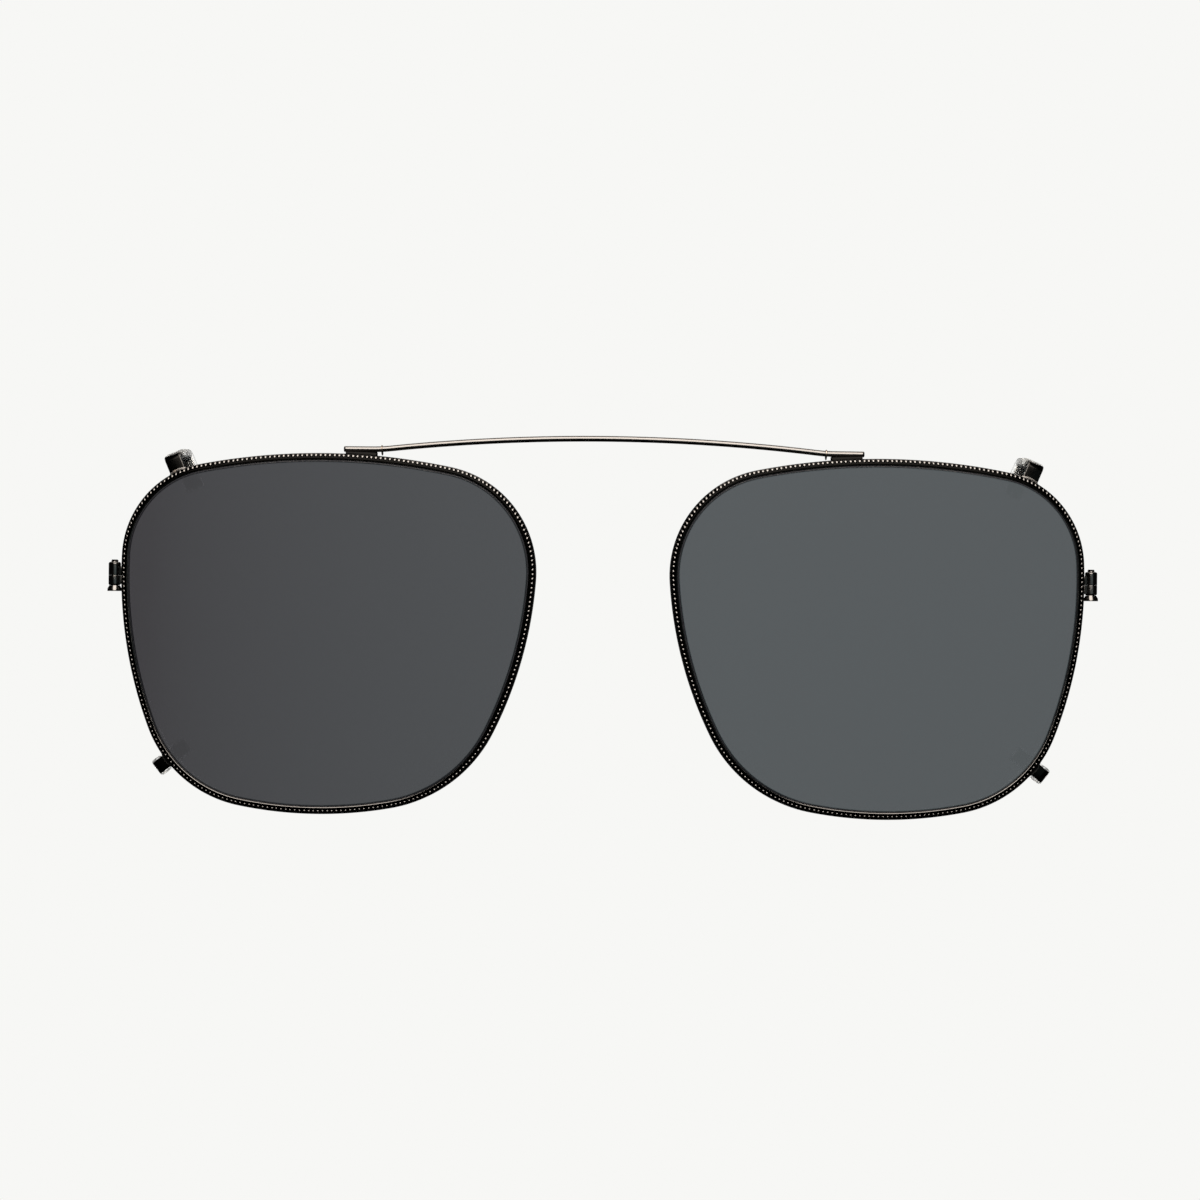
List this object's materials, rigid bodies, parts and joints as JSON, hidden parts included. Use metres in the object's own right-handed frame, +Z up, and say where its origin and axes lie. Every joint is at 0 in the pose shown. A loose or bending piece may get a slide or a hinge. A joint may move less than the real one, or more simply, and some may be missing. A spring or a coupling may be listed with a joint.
{
  "type": "clip-on sun lenses",
  "caption": "Clip-on sun lenses: two near-black metal rims with beaded edges and grey lenses on an arched spring-wire bridge, held to spectacles by four sleeved hook prongs.",
  "frame": {"origin": "midway between the centres of the two rims, in the middle of the rims' depth at their centres", "axes": "+X to the right seen from the front, +Y towards the wearer, +Z up"},
  "size_m": [0.1238, 0.0112, 0.0474],
  "materials": {
    "antique_black": "near-black antique plating, polished",
    "rose_bronze": "bright, slightly pink bronze",
    "smoke_lens": "dark grey tint, polished",
    "clear_silicone": "clear, glossy"
  },
  "bodies": {
    "bridge": {"bridge_wire": "antique_black"},
    "left_eye": {"left_bridge_braze": "antique_black", "left_bridge_collar": "antique_black", "left_lens": "smoke_lens", "left_lower_barrel": "antique_black", "left_lower_prong": "antique_black", "left_lower_prong_braze": "rose_bronze", "left_lower_sleeve": "clear_silicone", "left_rim": "antique_black", "left_upper_barrel": "antique_black", "left_upper_prong": "antique_black", "left_upper_prong_braze": "rose_bronze", "left_upper_sleeve": "clear_silicone"},
    "left_screw": {"left_rim_screw": "antique_black"},
    "right_eye": {"right_bridge_braze": "antique_black", "right_bridge_collar": "antique_black", "right_lens": "smoke_lens", "right_lower_barrel": "antique_black", "right_lower_prong": "antique_black", "right_lower_prong_braze": "rose_bronze", "right_lower_sleeve": "clear_silicone", "right_rim": "antique_black", "right_upper_barrel": "antique_black", "right_upper_prong": "antique_black", "right_upper_prong_braze": "rose_bronze", "right_upper_sleeve": "clear_silicone"},
    "right_screw": {"right_rim_screw": "antique_black"}
  },
  "joints": [
    {"name": "left_bridge_flex", "type": "hinge", "parent": "bridge", "child": "left_eye", "pos_m": [-0.013, -0.00121, 0.02419], "axis": [0, 1, 0], "range_deg": [-2, 6], "stiffness_Nm_per_rad": 0.1, "deforming": ["bridge_wire"]},
    {"name": "right_bridge_flex", "type": "hinge", "parent": "bridge", "child": "right_eye", "pos_m": [0.013, -0.00121, 0.02419], "axis": [0, -1, 0], "range_deg": [-2, 6], "stiffness_Nm_per_rad": 0.1, "deforming": ["bridge_wire"]},
    {"name": "left_rim_screw_turn", "type": "hinge", "parent": "left_eye", "child": "left_screw", "pos_m": [-0.061, 0.00187, 0.007], "axis": [0, 0, 1], "continuous": true},
    {"name": "right_rim_screw_turn", "type": "hinge", "parent": "right_eye", "child": "right_screw", "pos_m": [0.061, 0.00187, 0.007], "axis": [0, 0, 1], "continuous": true}
  ],
  "couplings": [
    {"joint": "left_bridge_flex", "follows": "right_bridge_flex", "ratio": 1}
  ]
}
